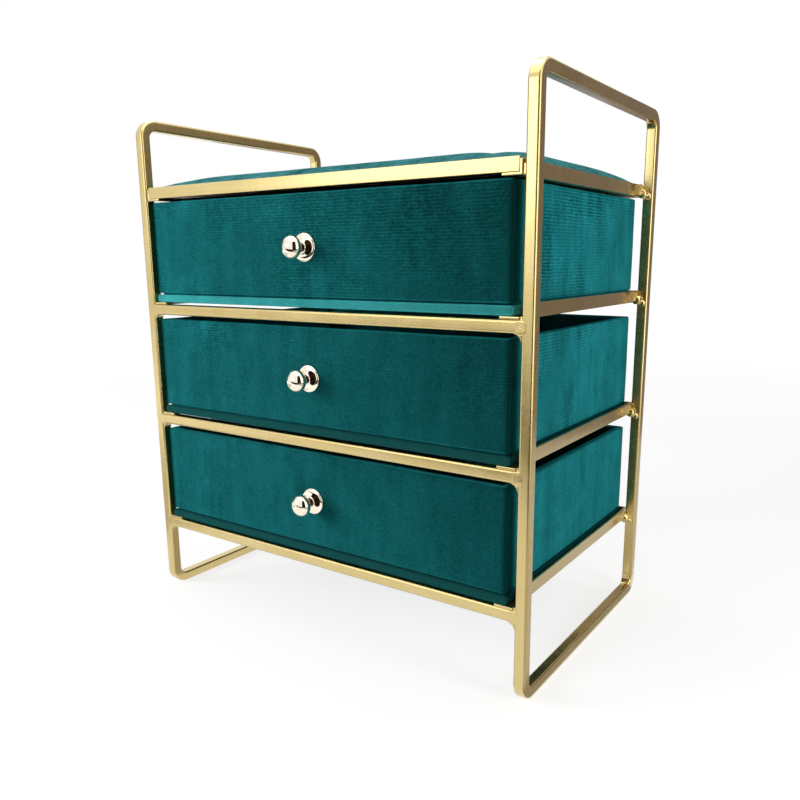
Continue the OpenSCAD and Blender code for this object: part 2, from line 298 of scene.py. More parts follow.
bpy.ops.object.select_all(action="DESELECT")
bpy.ops.mesh.primitive_plane_add(size=2 * FLOOR_HALF, location=(0, 0, 0))
floor = bpy.context.object
floor.name = "floor"
floor_finish = Finish("pale_floor")
lit = floor_finish.node("ShaderNodeBsdfDiffuse", None, {"Color": FLOOR_COLOUR})
glow = floor_finish.node("ShaderNodeEmission", None, {"Color": WHITE, "Strength": FLOOR_GLOW})
away = floor_finish.node(
    "ShaderNodeVectorMath", {"operation": "LENGTH"}, {0: floor_finish.place}, output="Value"
)
glow_share = floor_finish.remap(away, NEAR_FLOOR, FAR_FLOOR, NEAR_GLOW_SHARE, FAR_GLOW_SHARE)
share = seen_directly(floor_finish) * glow_share
both = floor_finish.node("ShaderNodeMixShader", None, {0: share, 1: lit, 2: glow})
paint_on(floor, floor_finish.show(both))
print("floor:", 2 * FLOOR_HALF, "m wide")

# %% [markdown]
# The world is the light from everywhere. A strength of 1 is white to the camera and in the metal, but
# as light on the box that would flatten every form, so the light's own rays see a dimmer sky.

# %% World
AMBIENT = 0.25
sky = Finish("studio", world=True)
strength = sky.remap(seen_directly(sky), 0.0, 1.0, AMBIENT, 1.0)
light = sky.node("ShaderNodeBackground", None, {"Color": WHITE, "Strength": strength})
bpy.context.scene.world = sky.show(light)
print("ambient light:", AMBIENT)

# %% [markdown]
# Soft lamps give the box its form: large ones far away for the even light, and two near ones that light
# the velvet of the fronts and of the right side. The near ones are kept out of the metal's reflections,
# where a small bright square would show.

# %% Softboxes
AIM = Vector((0.0, 0.0, 0.14))


def softbox(name, place, width, height, radiance, aim=AIM, in_metal=True):
    """An even rectangle of light of the given brightness, turned towards the box."""
    bpy.ops.object.select_all(action="DESELECT")
    bpy.ops.object.light_add(type="AREA", location=place)
    lamp = bpy.context.object
    lamp.name = name
    lamp.data.shape = "RECTANGLE"
    lamp.data.size, lamp.data.size_y = width, height
    lamp.data.energy = radiance * math.pi * width * height
    lamp.rotation_euler = (Vector(aim) - Vector(place)).to_track_quat("-Z", "Y").to_euler()
    lamp.visible_glossy = in_metal


softbox("front_window", (-1.45, -2.63, 0.86), 1.3, 1.0, 2.3)
softbox("left_lamp", (-0.75, -0.75, 0.45), 0.5, 0.5, 9.5, aim=(0, -0.07, 0.14), in_metal=False)
softbox("right_lamp", (0.62, -0.14, 0.22), 0.2, 0.2, 10.5, aim=(0.11, 0, 0.14), in_metal=False)
softbox("top_softbox", (-0.1, 0.15, 1.3), 0.9, 0.7, 1.8)

# %% [markdown]
# Polished metal has no look of its own: it shows its surroundings. So bright and dark cards stand round
# the box, as in a studio, and only mirror-like surfaces see them. Bright ones overhead and on the right
# light up the bars, and dark ones in front, behind and at both sides give the faces their contrast.

# %% Cards
def card(name, place, width, height, colour, lying=None, aim=AIM):
    """A card that only mirror-like surfaces see: upright and facing the box, or lying, turned by an angle."""
    bpy.ops.object.select_all(action="DESELECT")
    bpy.ops.mesh.primitive_plane_add(size=1, location=place)
    obj = bpy.context.object
    obj.name = name
    if lying is None:
        towards = Vector(aim) - Vector(place)
        obj.rotation_euler = Vector((towards.x, towards.y, 0)).to_track_quat("Z", "Y").to_euler()
    else:
        obj.rotation_euler = (0, 0, math.radians(lying))
    obj.scale = (width, height, 1)
    finish = Finish(name)
    paint_on(obj, finish.show(finish.node("ShaderNodeEmission", None, {"Color": colour, "Strength": 1.0})))
    obj.visible_camera = obj.visible_diffuse = obj.visible_shadow = False


card("dark_wall_behind", (0.138, 0.572, 0.25), 1.15, 0.5, (0.22, 0.185, 0.17), aim=(-0.182, 0.132, 0.25))
card("low_wall_behind", (-0.30, 0.75, 0.10), 1.0, 0.22, (0.42, 0.39, 0.42))
card("low_wall_front", (-1.2, -1.75, 0.055), 2.4, 0.11, (0.80, 0.75, 0.64))
card("grey_floor_right", (0.36, 0.0, 0.001), 0.45, 1.0, (0.62, 0.59, 0.56), lying=0)
card("shade_beside_foot", (0.1302, 0.0, 0.001), 0.0094, 0.17, (0.34, 0.31, 0.25), lying=0)
card("shade_under_box", (0.0, 0.0, 0.001), 0.22, 0.15, (0.50, 0.48, 0.45), lying=0)
card("grey_floor_left", (-0.33, -0.21, 0.001), 0.26, 0.20, (0.66, 0.64, 0.60), lying=0)
card("dark_floor_front", (-0.10, -0.675, 0.001), 1.7, 0.43, (0.03, 0.02, 0.01), lying=26.6)
card("dark_card_at_camera", (0.30, -0.42, 0.36), 0.36, 0.72, (0.02, 0.014, 0.012))
card("bright_ceiling", (0.0, -0.3, 1.5), 2.4, 2.0, (2.2, 2.1, 1.9), lying=0)
card("bright_card_right", (0.80, -0.30, 0.35), 0.7, 0.9, (2.6, 2.5, 2.2))
# The thin dark strip is a painted reflection: it stands between the drawers' right sides and the rear post,
# so that the post mirrors it instead of the velvet
strip_x, strip_z = 0.1157, 0.142
card(
    "dark_strip_by_rear_post",
    (strip_x, 0.060, strip_z),
    0.0044,
    0.165,
    (0.045, 0.050, 0.036),
    aim=(strip_x, 0.2, strip_z),
)
card("dark_left_wall", (-1.3, 0.1, 0.30), 0.9, 0.9, (0.10, 0.08, 0.07))
card("dark_right_wall", (1.25, 0.10, 0.35), 0.5, 0.8, (0.06, 0.05, 0.045))

# %% [markdown]
# Two black flags keep light off the front's right end and the post beside it, which are deep in shade in
# the photograph. The camera and the metal don't see them.

# %% Flags
BLACK_CLOTH = (0.004, 0.004, 0.004)


def flag(name, place, width, height, turn):
    """A black cloth on a stand, out of the picture, that keeps light off one side of the box."""
    bpy.ops.object.select_all(action="DESELECT")
    upright = (math.radians(90), 0, math.radians(turn))
    bpy.ops.mesh.primitive_plane_add(size=1, location=place, rotation=upright)
    obj = bpy.context.object
    obj.name = name
    obj.scale = (width, height, 1)
    finish = Finish(name)
    paint_on(obj, finish.show(finish.node("ShaderNodeBsdfDiffuse", None, {"Color": BLACK_CLOTH})))
    obj.visible_camera = obj.visible_glossy = False


flag("flag_right", (0.40, -0.50, 0.30), 0.60, 0.50, 90)
flag("flag_behind_camera", (0.20, -0.80, 0.30), 0.40, 0.50, 0)

# %% [markdown]
# The frame is steel bar and strip with a satin, light-gold plating. Plating is a metal, so its colour
# tints what it reflects. Fine lines left by polishing run along each bar, and broad faint clouds
# change its gloss. The lines follow the bar, so there is one finish for bars along each axis. Weld metal
# has no lines: its finishes differ only in gloss and in how lumpy they are.

# %% Gold finishes
GOLD = (0.70, 0.545, 0.215)
PALE_GOLD = (0.78, 0.64, 0.33)
WORN_GOLD = (0.56, 0.41, 0.14)
GOLD_RELIEF = 0.12 * MM
LONG, ACROSS = 30.0, 1500.0
EVEN = (500.0, 500.0, 500.0)


def gold_finish(name, lines, gloss=(0.20, 0.32), lumps=0.5):
    """Satin gold whose polishing lines are long along the axes where lines is small."""
    finish = Finish(name)
    cloud = finish.noise(26.0, detail=4.0, roughness=0.6)
    brushed = finish.noise(1.0, detail=3.0, roughness=0.65, at=finish.stretch(*lines))
    grit = finish.noise(2600.0, detail=2.0)
    tone = cloud * 0.55 + brushed * 0.45
    colour = finish.mix(finish.remap(tone, 0.35, 0.68), WORN_GOLD, PALE_GOLD)
    colour = finish.mix(0.55, colour, GOLD)
    dents = finish.noise(420.0, detail=1.0)
    height = brushed * 0.5 + grit * 0.06 + dents * lumps
    return finish.surface(
        base_color=colour,
        metallic=1.0,
        roughness=finish.remap(cloud * 0.8 + grit * 0.2, 0.3, 0.7, *gloss),
        coat_weight=0.9,
        coat_roughness=0.15,
        normal=finish.bump(height, GOLD_RELIEF, 0.15),
    )


gold_along = {
    0: gold_finish("gold_along_x", (LONG, ACROSS, ACROSS)),
    1: gold_finish("gold_along_y", (ACROSS, LONG, ACROSS)),
    2: gold_finish("gold_along_z", (ACROSS, ACROSS, LONG)),
}
gold_weld = gold_finish("gold_weld", EVEN)
gold_smear = gold_finish("gold_smear", EVEN, gloss=(0.42, 0.55), lumps=0.3)
gold_bead = gold_finish("gold_bead", EVEN, gloss=(0.14, 0.26), lumps=0.4)
print("gold finishes:", len(gold_along) + 3)

# %% [markdown]
# A side loop is one length of square bar, bent four times and butt-welded into a closed rectangle. By
# hand it starts as a square section with rounded corners. Its edge is extruded along each straight
# run and spun round each bend, as the bender turns it, until it meets itself. The butt weld is a
# shallow ring left in the rear post, just above the bend.

# %% Side loops
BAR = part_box("right_loop")[1].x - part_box("right_loop")[0].x
BAR_EDGE = 1.2 * MM
BEND_IN = 4.0 * MM
BEND_STEPS = 10
SEAM_Z = 12.0 * MM
SEAM_H = 0.22 * MM
SEAM_SQUEEZE = 0.95
UPRIGHT = (math.radians(90), 0, 0)
MERGE = 0.01 * MM


def side_loop(name, node):
    lo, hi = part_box(node)
    x = (lo.x + hi.x) / 2
    corner = BAR + BEND_IN
    middle_y = (lo.y + hi.y) / 2
    bpy.ops.object.select_all(action="DESELECT")
    bpy.ops.mesh.primitive_plane_add(size=BAR, location=(x, middle_y, BAR / 2), rotation=UPRIGHT)
    obj = bpy.context.object
    obj.name = obj.data.name = name
    bpy.ops.object.transform_apply(location=True, rotation=True, scale=True)
    start_edit(obj, "VERT")
    bpy.ops.mesh.select_all(action="SELECT")
    bpy.ops.mesh.bevel(offset=BAR_EDGE, segments=5, affect="VERTICES")
    bpy.ops.mesh.select_all(action="SELECT")
    bpy.ops.mesh.delete(type="ONLY_FACE")
    bpy.ops.mesh.select_mode(type="EDGE")
    bpy.ops.mesh.select_all(action="SELECT")
    turn = {"steps": BEND_STEPS, "angle": math.radians(-90), "axis": (1, 0, 0)}
    run_up = hi.z - lo.z - 2 * corner
    extrude((0, hi.y - corner - middle_y, 0))
    bpy.ops.mesh.spin(center=(x, hi.y - corner, corner), **turn)
    extrude((0, 0, SEAM_Z - corner))
    for squeeze in (SEAM_SQUEEZE, 1 / SEAM_SQUEEZE):
        extrude((0, 0, SEAM_H))
        bpy.ops.transform.resize(value=(squeeze, squeeze, 1))
    extrude((0, 0, run_up - (SEAM_Z - corner) - 2 * SEAM_H))
    bpy.ops.mesh.spin(center=(x, hi.y - corner, hi.z - corner), **turn)
    extrude((0, lo.y - hi.y + 2 * corner, 0))
    bpy.ops.mesh.spin(center=(x, lo.y + corner, hi.z - corner), **turn)
    extrude((0, 0, -run_up))
    bpy.ops.mesh.spin(center=(x, lo.y + corner, corner), **turn)
    extrude((0, middle_y - lo.y - corner, 0))
    bpy.ops.mesh.select_all(action="SELECT")
    bpy.ops.mesh.remove_doubles(threshold=MERGE)
    bpy.ops.mesh.normals_make_consistent(inside=False)
    end_edit()
    smooth(obj)
    paint_on(obj, gold_along[2])
    return obj


right_loop = side_loop("right_side_loop", "right_loop")
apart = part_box("left_loop")[0].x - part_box("right_loop")[0].x
left_loop = copy_piece(right_loop, "left_side_loop", (apart, 0, 0))
settle(right_loop, "frame", "frame", "right_loop")
settle(left_loop, "frame", "frame", "left_loop")
print("loop:", len(right_loop.data.polygons), "faces", [round(v, 4) for v in right_loop.dimensions])

# %% [markdown]
# A front bar is a straight piece of the same square bar between the front posts. A box with its four
# long edges rounded over is enough, because its ends are hidden in the welds. The three bars are alike,
# so one is made and copied up by the distance between two tiers.

# %% Front bars
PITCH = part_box("middle_front_bar")[0].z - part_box("lower_front_bar")[0].z
RISE = {tier: (0, 0, i * PITCH) for i, tier in enumerate(TIERS)}
print("tier pitch:", round(PITCH / MM, 2), "mm")


def new_box(name, lo, hi):
    lo, hi = Vector(lo), Vector(hi)
    bpy.ops.object.select_all(action="DESELECT")
    bpy.ops.mesh.primitive_cube_add(size=1, location=(lo + hi) / 2)
    obj = bpy.context.object
    obj.name = obj.data.name = name
    obj.scale = hi - lo
    bpy.ops.object.transform_apply(location=True, rotation=True, scale=True)
    return obj


def is_long_edge(a, b, axis, length):
    return abs(a[axis] - b[axis]) > 0.9 * length


def front_bar(name, node):
    lo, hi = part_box(node)
    obj = new_box(name, lo, hi)
    start_edit(obj, "EDGE")
    pick(obj, "EDGE", lambda a, b: is_long_edge(a, b, 0, hi.x - lo.x))
    bpy.ops.mesh.bevel(offset=BAR_EDGE, segments=5, affect="EDGES")
    end_edit()
    smooth(obj)
    paint_on(obj, gold_along[0])
    return obj


first_bar = front_bar("lower_bar", "lower_front_bar")
bars = {tier: copy_piece(first_bar, f"{tier}_bar", RISE[tier]) for tier in TIERS[1:]}
bars["lower"] = first_bar
for tier, obj in bars.items():
    settle(obj, "frame", "frame", f"{tier}_front_bar")
print("front bars:", len(bars))

# %% [markdown]
# The angles are thin folded strip. Each starts as its flat leg. A cut along the fold gives the strip
# that is drawn up into the upright leg, the rear mitre is a slanting cut, and the edges are broken
# slightly, because rolled strip has no sharp edge and the small round catches the light.

# %% Angle strips
STRIP = 1.3 * MM
STRIP_EDGE = 0.32 * MM
CUT_BACK = 6.5 * MM


def slice_at(axis, place):
    """Cut all faces by a plane across one axis, so that there are points to shape."""
    normal = [0, 0, 0]
    normal[axis] = 1
    bpy.ops.mesh.select_all(action="SELECT")
    bpy.ops.mesh.bisect(plane_co=[place * n for n in normal], plane_no=normal)


def mirror_piece(obj, name):
    """The left-hand twin of a right-hand piece."""
    made = copy_piece(obj, name)
    start_edit(made)
    bpy.ops.mesh.select_all(action="SELECT")
    bpy.ops.transform.resize(value=(-1, 1, 1), center_override=(0, 0, 0))
    bpy.ops.mesh.normals_make_consistent(inside=False)
    end_edit()
    return made


def angle_strip(name, node, fold_axis, outer, mitres=(), cut_back=0.0):
    """An angle whose upright stands at the side of fold_axis where outer points, cut by the mitre planes."""
    lo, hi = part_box(node)
    flat_hi = Vector(hi)
    flat_hi.z = lo.z + STRIP
    obj = new_box(name, lo, flat_hi)
    start_edit(obj)
    edge = hi[fold_axis] if outer > 0 else lo[fold_axis]
    slice_at(fold_axis, edge - outer * STRIP)
    if cut_back:
        slice_at(1, lo.y + cut_back)
    pick(obj, "FACE", lambda c, n: n.z > 0.9 and abs(c[fold_axis] - edge) < STRIP and c.y > lo.y + cut_back)
    extrude((0, 0, hi.z - flat_hi.z))
    for place, normal in mitres:
        bpy.ops.mesh.select_all(action="SELECT")
        bpy.ops.mesh.bisect(plane_co=place, plane_no=normal, use_fill=True, clear_outer=True)
    bpy.ops.mesh.select_all(action="SELECT")
    bpy.ops.mesh.remove_doubles(threshold=MERGE)
    bpy.ops.mesh.dissolve_limited(angle_limit=math.radians(1))
    bpy.ops.mesh.select_all(action="SELECT")
    bpy.ops.mesh.bevel(offset=STRIP_EDGE, segments=2, affect="EDGES", clamp_overlap=True)
    bpy.ops.mesh.select_all(action="SELECT")
    bpy.ops.mesh.normals_make_consistent(inside=False)
    end_edit()
    smooth(obj)
    along = 1 - fold_axis
    paint_on(obj, gold_along[along])
    return obj


rear_lo, rear_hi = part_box("lower_rear_angle")
right, left = (rear_hi.x, rear_hi.y, 0), (rear_lo.x, rear_hi.y, 0)
runner = angle_strip("lower_runner_right", "lower_right_runner", 0, 1, [(right, (-1, 1, 0))], CUT_BACK)
stop = angle_strip("lower_stop_angle", "lower_rear_angle", 1, 1, [(left, (-1, -1, 0)), (right, (1, -1, 0))])
left_runner = mirror_piece(runner, "lower_runner_left")
first_strips = {"runner_right": runner, "runner_left": left_runner, "stop_angle": stop}
stands_for = {"runner_right": "right_runner", "runner_left": "left_runner", "stop_angle": "rear_angle"}
strips = [(obj, f"lower_{stands_for[kind]}") for kind, obj in first_strips.items()]
for tier in TIERS[1:]:
    for kind, obj in first_strips.items():
        strips.append((copy_piece(obj, f"{tier}_{kind}", RISE[tier]), f"{tier}_{stands_for[kind]}"))
tray_right = angle_strip("tray_right", "top_right_angle", 0, 1)
strips += [
    (tray_right, "top_right_angle"),
    (mirror_piece(tray_right, "tray_left"), "top_left_angle"),
    (angle_strip("tray_front", "top_front_angle", 1, -1), "top_front_angle"),
    (angle_strip("tray_rear", "top_rear_angle", 1, 1), "top_rear_angle"),
]
for obj, node in strips:
    settle(obj, "frame", "frame", node)
print("angle strips:", len(strips), "runner", [round(v, 4) for v in runner.dimensions])

# %% [markdown]
# Weld metal is lumpy. In front, each bar end has a concave fillet below it, a patch ground flush over the
# joint and a seam beside the runner. Sculpting would give such lumps too, but not twice alike. So one set
# is modelled from boxes for the lower right joint, copied up the tiers and mirrored. A fine remesh then
# melts it together, and a soft noise leaves the ripples of a hand weld.

# %% Parts of one front weld
loop_lo, loop_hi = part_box("right_loop")
POST_IN = loop_lo.x
FRONT = loop_lo.y
FILLET = 3.6 * MM
PATCH_TOE = 1.9 * MM
SINK = 0.4 * MM
SEAM_BACK = 0.8 * MM
bar_lo, bar_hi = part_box("lower_front_bar")
runner_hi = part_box("lower_right_runner")[1]

# The concave fillet in the corner under the bar
fillet = new_box(
    "bar_fillet",
    (POST_IN - FILLET, FRONT + 0.3 * MM, bar_lo.z - FILLET),
    (POST_IN + SINK, FRONT + BAR - 0.6 * MM, bar_lo.z + SINK),
)
start_edit(fillet, "EDGE")
toe_x, toe_z = POST_IN - 0.9 * FILLET, bar_lo.z - 0.9 * FILLET
pick(fillet, "EDGE", lambda a, b: max(a.z, b.z) < toe_z and max(a.x, b.x) < toe_x)
bpy.ops.mesh.bevel(offset=0.97 * FILLET, segments=8, profile=0.1, affect="EDGES")
end_edit()

# The flush patch over the joint, with a round toe on the post
patch = new_box(
    "joint_patch",
    (POST_IN - 2.6 * MM, FRONT - 0.06 * MM, bar_lo.z - 0.3 * MM),
    (POST_IN + 2.4 * MM, FRONT + 2.2 * MM, bar_hi.z - 0.2 * MM),
)
start_edit(patch, "EDGE")
pick(patch, "EDGE", lambda a, b: abs(a.y - b.y) > 1 * MM and a.x > POST_IN)
bpy.ops.mesh.bevel(offset=PATCH_TOE, segments=6, affect="EDGES")
end_edit()

# The seam beside the runner's flat leg
seam = new_box(
    "runner_seam",
    (runner_hi.x - SINK, FRONT + SEAM_BACK, bar_hi.z - SINK),
    (POST_IN + SINK, FRONT + BAR, bar_hi.z + STRIP),
)
print("fillet:", round(FILLET / MM, 2), "mm, seam:", [round(v, 4) for v in seam.dimensions])

# %% [markdown]
# The parts of this one joint become one object, which is copied up for the other bars. The tray's corner
# has no bar below it, so it gets a seam only. A mirror gives the left side. Then the remesh fuses what
# overlaps into one skin, and smoothing and noise turn the skin into weld metal.

# %% All front welds
TRAY_SEAM_TALL = 4.5 * MM
WELD_CELL = 0.25 * MM
RIPPLE_SIZE, RIPPLE_HEIGHT = 2.6 * MM, 0.14 * MM


def clouds(name, size):
    """A soft lumpy texture for the Displace modifier."""
    made = bpy.data.textures.new(name, "CLOUDS")
    made.noise_scale = size
    made.noise_depth = 2
    return made


pick_object(fillet)
patch.select_set(True)
seam.select_set(True)
bpy.ops.object.join()
front_weld = fillet
front_weld.name = front_weld.data.name = "front_weld_metal"
start_edit(front_weld)
for step in (1, 2):
    pick(front_weld, "FACE", lambda c, n: c.z < bar_hi.z + 2 * STRIP)
    bpy.ops.mesh.duplicate_move(TRANSFORM_OT_translate={"value": (0, 0, step * PITCH)})
end_edit()

tray_lo, tray_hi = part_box("top_right_angle")
tray_seam = new_box(
    "tray_seam",
    (tray_hi.x - SINK, FRONT + SEAM_BACK, tray_lo.z),
    (POST_IN + SINK, FRONT + BAR, tray_lo.z + TRAY_SEAM_TALL),
)
pick_object(front_weld)
tray_seam.select_set(True)
bpy.ops.object.join()
add_modifier(front_weld, "MIRROR", use_axis=(True, False, False))
add_modifier(front_weld, "REMESH", mode="VOXEL", voxel_size=WELD_CELL)
add_modifier(front_weld, "SMOOTH", factor=0.5, iterations=5)
ripples = clouds("weld_ripples", RIPPLE_SIZE)
add_modifier(front_weld, "DISPLACE", texture=ripples, strength=RIPPLE_HEIGHT, mid_level=0.55)
smooth(front_weld, 80, weighted=False)
paint_on(front_weld, gold_weld)
settle(front_weld, "frame", "frame", "front_welds")
print(front_weld.name, len(front_weld.data.polygons), "faces")

# %% [markdown]
# At the rear posts the welds are left as they cooled: each angle ends there in a bead of two bright drops.
# A plain ball would be too even, so each drop is a sphere, drawn out along the axes and dented. A stronger
# noise than in front then makes the bead lumpy.

# %% Rear weld beads
REAR = loop_hi.y - BAR
CLOSE = 0.1 * MM
CRATER = 0.35 * MM
BEAD_CELL = 0.28 * MM
LUMP_SIZE, LUMP_HEIGHT = 2.2 * MM, 0.9 * MM
ANGLE_FACE = runner_hi.x
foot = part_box("lower_right_runner")[0].z
BEAD_CORNER = (ANGLE_FACE, REAR, foot)
# Each drop: its name, its middle from that corner and its half sizes, in mm
BEAD_PARTS = (
    ("drop_on_corner", (1.6, -1.3, 1.5), (2.9, 2.8, 2.8)),
    ("drop_on_post", (4.2, -0.5, -0.3), (2.2, 1.9, 2.0)),
)


def drop(name, offset, radii):
    """A drop of metal: a sphere drawn out along the axes, its crown pressed in to a crater."""
    place = [start + way * MM for start, way in zip(BEAD_CORNER, offset)]
    bpy.ops.object.select_all(action="DESELECT")
    bpy.ops.mesh.primitive_uv_sphere_add(
        segments=24, ring_count=16, radius=1, location=place, rotation=UPRIGHT
    )
    obj = bpy.context.object
    obj.name = obj.data.name = name
    bpy.ops.object.transform_apply(location=True, rotation=True, scale=True)
    start_edit(obj)
    bpy.ops.mesh.select_all(action="SELECT")
    bpy.ops.transform.resize(value=[radius * MM for radius in radii], center_override=place)
    pick(obj, "FACE", lambda c, n: n.y < -0.94)
    move((0, CRATER, 0))
    end_edit()
    return obj


rear_weld, *others = [drop(*part) for part in BEAD_PARTS]
pick_object(rear_weld)
for obj in others:
    obj.select_set(True)
bpy.ops.object.join()
rear_weld.name = rear_weld.data.name = "rear_weld_beads"
tray_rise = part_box("top_right_angle")[0].z - foot
top_of_bead = foot + 8 * MM
start_edit(rear_weld)
for rise in (PITCH, 2 * PITCH, tray_rise):
    pick(rear_weld, "FACE", lambda c, n: c.z < top_of_bead)
    bpy.ops.mesh.duplicate_move(TRANSFORM_OT_translate={"value": (0, 0, rise)})
end_edit()
add_modifier(rear_weld, "MIRROR", use_axis=(True, False, False))
add_modifier(rear_weld, "REMESH", mode="VOXEL", voxel_size=BEAD_CELL)
add_modifier(rear_weld, "SMOOTH", factor=0.5, iterations=3)
lumps = clouds("bead_lumps", LUMP_SIZE)
add_modifier(rear_weld, "DISPLACE", texture=lumps, strength=LUMP_HEIGHT, mid_level=0.5)

# %% [markdown]
# From each bead a duller smear of metal thins out along the angle. It starts as a box. Two cuts give it
# knees, and its face is drawn out at the bead and a little at the first knee. It stays apart from the
# drops until both have their own finish, because a remesh would mix them.

# %% Smears beside the beads
SMEAR_LONG, SMEAR_RISE, SMEAR_TOE = 15.0 * MM, 2.0 * MM, 0.35 * MM
KNEES = (REAR - 8.5 * MM, REAR - 2.5 * MM)
smear = new_box(
    "smear_on_angle",
    (ANGLE_FACE - 0.8 * MM, REAR - SMEAR_LONG, foot + 0.7 * MM),
    (ANGLE_FACE - 0.2 * MM, REAR - 0.6 * MM, foot + 5.8 * MM),
)
start_edit(smear)
for knee in KNEES:
    slice_at(1, knee)
pick(smear, "FACE", lambda c, n: n.x > 0.9 and c.y > KNEES[1])
move((SMEAR_RISE, 0, 0))


def on_first_knee(a, b):
    outside = min(a.x, b.x) > ANGLE_FACE - 0.3 * MM
    return outside and max(abs(a.y - KNEES[0]), abs(b.y - KNEES[0])) < CLOSE


pick(smear, "EDGE", on_first_knee)
move((SMEAR_TOE, 0, 0))
for rise in (PITCH, 2 * PITCH, tray_rise):
    pick(smear, "FACE", lambda c, n: c.z < top_of_bead)
    bpy.ops.mesh.duplicate_move(TRANSFORM_OT_translate={"value": (0, 0, rise)})
end_edit()
add_modifier(smear, "MIRROR", use_axis=(True, False, False))
for obj in (rear_weld, smear):
    add_modifier(obj, "REMESH", mode="VOXEL", voxel_size=WELD_CELL)
    add_modifier(obj, "SMOOTH", factor=0.5, iterations=4)
paint_on(rear_weld, gold_bead)
paint_on(smear, gold_smear)
pick_object(rear_weld)
smear.select_set(True)
bpy.ops.object.join()
smooth(rear_weld, 80, weighted=False)
settle(rear_weld, "frame", "frame", "rear_welds")
print(rear_weld.name, len(rear_weld.data.polygons), "faces")

# %% [markdown]
# Velvet is a short, dense pile. Straight on one looks down between the fibres, and it is deep and dark. At a
# slant their tips catch the light. The shader's own sheen alone is too even for that, so a Layer Weight node
# paints that sheen into the colour, as a mix of a deep and a bright colour. Noise brushes the pile into
# patches and upright streaks. Fine ribs of the weave, brightened on their crests as painted highlights, and
# small painted glints show in patches, more the higher up they are, and the drawers' front corners get
# painted shade. On flat pieces the ribs run in rows from side to side.

# %% Velvet finishes
RIB_SCALE = 209.0  # bands 1.5 mm apart
SHOWN_ABOVE, SHOWN_GAIN = 0.165, 2.2
TONE_SCALE = 0.68
PILE = 0.5 * MM
SHEEN_TINT = (0.03, 0.50, 0.60)
CORNER_SHADE_LONG = (7.0 * MM, 13.0 * MM)
CORNER_SHADE_DEEP = (3.0 * MM, 1.0 * MM)
walls_lo, walls_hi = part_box("lower_drawer_wrap")


def velvet_finish(name, deep, bright, edge_shade=0.25, rows="Z", painted_corner_shade=0.0):
    """Velvet, deep straight on and bright at a slant, with brushed patches, streaks and rows of ribs."""
    finish = Finish(name)
    # Painted sheen: the colour is brighter at a slant, and with edge_shade below 1 darker again towards the
    # outline
    facing = finish.node("ShaderNodeLayerWeight", None, {"Blend": 0.5}, output="Facing")
    slant = facing * finish.remap(facing, 0.68, 0.95, 1.0, edge_shade)

    # The pile: brushed patches, upright streaks, single fibres, and the ribs of the weave
    patches = finish.noise(55.0, detail=5.0, roughness=0.68, distortion=0.4)
    streaks = finish.noise(1.0, detail=3.0, roughness=0.6, at=finish.stretch(95.0, 95.0, 17.0))
    fibres = finish.noise(1000.0, detail=3.0, roughness=0.75)
    specks = finish.noise(1.0, detail=2.0, roughness=0.6, at=finish.stretch(420.0, 420.0, 1300.0))
    ribs = finish.node(
        "ShaderNodeTexWave",
        {"wave_type": "BANDS", "bands_direction": rows, "wave_profile": "SIN"},
        {"Vector": finish.place, "Scale": RIB_SCALE, "Distortion": 1.4, "Detail": 2.0, "Detail Scale": 1.2},
        output="Fac",
    )

    # Painted shade at the drawers' front corners, and where the weave shows through
    across, along, height_up = [
        finish.node("ShaderNodeSeparateXYZ", None, {0: finish.place}, output=axis) for axis in "XYZ"
    ]
    beside = finish.remap(across * across, *[(walls_hi.x - deep_in) ** 2 for deep_in in CORNER_SHADE_DEEP])
    near_front = finish.remap(along, *[walls_lo.y + long for long in CORNER_SHADE_LONG], 1.0, 0.0)
    # The weave and the painted glints show more the higher up they are
    shown_by_height = (height_up - SHOWN_ABOVE) * SHOWN_GAIN
    shown = finish.remap(finish.noise(22.0, detail=2.0) + shown_by_height, 0.45, 0.66, 0.0, 1.0)

    # From slant and pattern to a tone between deep and bright
    brushed = 1.0 + ((patches - 0.5) * 1.6 + (streaks - 0.5) * 1.7) * (0.7 + shown * 0.6)
    grain = (fibres - 0.5) * 1.2
    # Painted highlights: bright glints, and the ribs' crests brightened by the cube
    painted_glints = finish.remap(specks, 0.5, 0.75)
    woven = (ribs**3.0 - 0.28) * shown * 0.9 + (painted_glints - 0.16) * (0.35 + shown) * 0.8
    tips = finish.remap(facing, 0.11, 0.24, 0.0, 0.04)
    tone = (slant * (brushed + woven) + grain * (slant + 0.25)) * TONE_SCALE + tips
    # Painted shade: the tone falls at the front corners of the drawers' sides, beside the posts
    tone = tone * (1.0 - beside * near_front * painted_corner_shade)
    height = ribs * shown * 0.08 + fibres * 0.7 + streaks * 0.3
    return finish.surface(
        base_color=finish.mix(tone, deep, bright),
        roughness=0.95,
        specular_ior_level=0.0,
        sheen_weight=0.15,
        sheen_roughness=0.32,
        sheen_tint=SHEEN_TINT,
        normal=finish.bump(height, PILE, 0.35),
    )


TEAL = ((0.0018, 0.030, 0.028), (0.025, 0.378, 0.418))
LIT_TEAL = ((0.026, 0.205, 0.200), (0.095, 0.740, 0.780))
GREY_TEAL = ((0.006, 0.050, 0.050), (0.107, 0.403, 0.418))
SHADED_TEAL = ((0.008, 0.066, 0.062), (0.016, 0.120, 0.118))
drawer_velvet = velvet_finish("drawer_velvet", *TEAL, painted_corner_shade=0.75)
lining_velvet = velvet_finish("lining_velvet", *TEAL, rows="Y")
# Painted light: the pale velvet is a lit copy for the upper base, the dusky one a shaded copy for the lower
# bases
lit_base_velvet = velvet_finish("lit_base_velvet", *LIT_TEAL)
pad_velvet = velvet_finish("pad_velvet", *GREY_TEAL, edge_shade=1.0, rows="Y")
shaded_velvet = velvet_finish("shaded_velvet", *SHADED_TEAL)
print("velvet finishes: 5")

